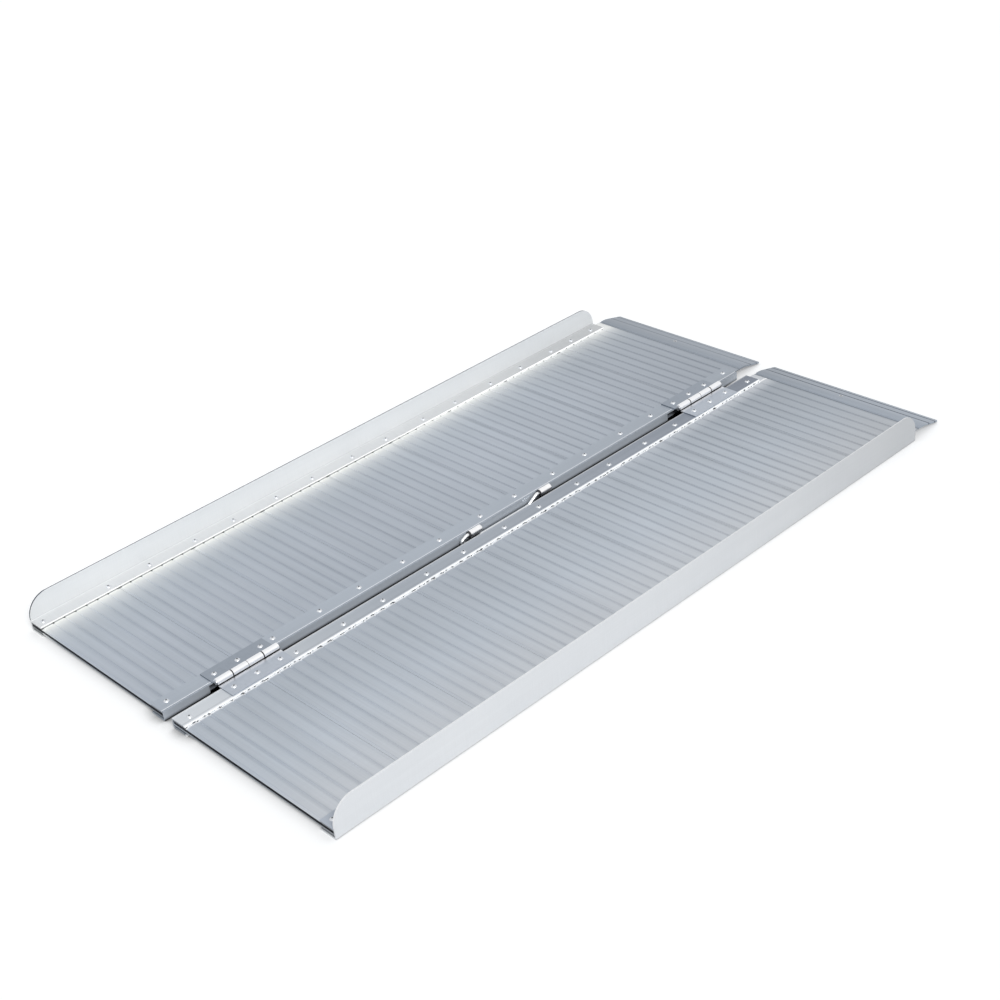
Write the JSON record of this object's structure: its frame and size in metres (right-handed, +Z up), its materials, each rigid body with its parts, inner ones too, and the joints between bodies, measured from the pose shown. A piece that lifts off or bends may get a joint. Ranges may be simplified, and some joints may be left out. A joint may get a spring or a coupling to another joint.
{
  "type": "folding access ramp",
  "caption": "Aluminium access ramp that folds lengthwise like a suitcase: ribbed plank decks, side kerbs, knuckled hinges, bent landing lips and a carrying handle.",
  "frame": {"origin": "centre of the ramp's box on the floor, with the ramp open and lying flat", "axes": "+Z up, +Y along the ramp towards the landing lips, +X across it towards the panel that folds over"},
  "size_m": [0.716, 1.292, 0.0549],
  "materials": {
    "deck_aluminium": "matt mill-finish ribbed extrusion",
    "kerb_aluminium": "satin extrusion with fine lengthwise lines",
    "channel_aluminium": "satin extrusion with fine lengthwise lines",
    "lip_aluminium": "satin extrusion",
    "rivet_aluminium": "bright domed heads",
    "hinge_steel": "bright zinc-plated steel",
    "pin_steel": "drawn steel",
    "sleeve_steel": "bright zinc-plated steel",
    "bush_plastic": "dark moulded nylon",
    "rod_steel": "bright zinc-plated rod"
  },
  "bodies": {
    "left_panel": {"left_kerb_rail": "kerb_aluminium", "left_centre_channel": "channel_aluminium", "left_plank_1": "deck_aluminium", "left_plank_2": "deck_aluminium", "left_plank_3": "deck_aluminium", "left_plank_4": "deck_aluminium", "left_plank_5": "deck_aluminium", "left_plank_6": "deck_aluminium", "left_plank_7": "deck_aluminium", "left_plank_8": "deck_aluminium", "left_plank_9": "deck_aluminium", "left_landing_lip": "lip_aluminium", "left_kerb_rivets": "rivet_aluminium", "left_channel_rivets": "rivet_aluminium", "left_hinge_rivets": "rivet_aluminium", "front_hinge_left_leaf": "hinge_steel", "rear_hinge_left_leaf": "hinge_steel", "front_hinge_pin": "pin_steel", "rear_hinge_pin": "pin_steel", "front_handle_sleeve": "sleeve_steel", "rear_handle_sleeve": "sleeve_steel", "handle_bushes": "bush_plastic"},
    "right_panel": {"right_kerb_rail": "kerb_aluminium", "right_centre_channel": "channel_aluminium", "right_plank_1": "deck_aluminium", "right_plank_2": "deck_aluminium", "right_plank_3": "deck_aluminium", "right_plank_4": "deck_aluminium", "right_plank_5": "deck_aluminium", "right_plank_6": "deck_aluminium", "right_plank_7": "deck_aluminium", "right_plank_8": "deck_aluminium", "right_plank_9": "deck_aluminium", "right_landing_lip": "lip_aluminium", "right_kerb_rivets": "rivet_aluminium", "right_channel_rivets": "rivet_aluminium", "right_hinge_rivets": "rivet_aluminium", "front_hinge_right_leaf": "hinge_steel", "rear_hinge_right_leaf": "hinge_steel"},
    "handle": {"carrying_handle": "rod_steel"}
  },
  "joints": [
    {"name": "panel_fold", "type": "hinge", "parent": "left_panel", "child": "right_panel", "pos_m": [0, -0.036, 0.0223], "axis": [0, -1, 0], "range_deg": [0, 169]},
    {"name": "handle_swing", "type": "hinge", "parent": "left_panel", "child": "handle", "pos_m": [-0.0044, 0.004, 0.0151], "axis": [0, -1, 0], "range_deg": [-10, 75]}
  ]
}
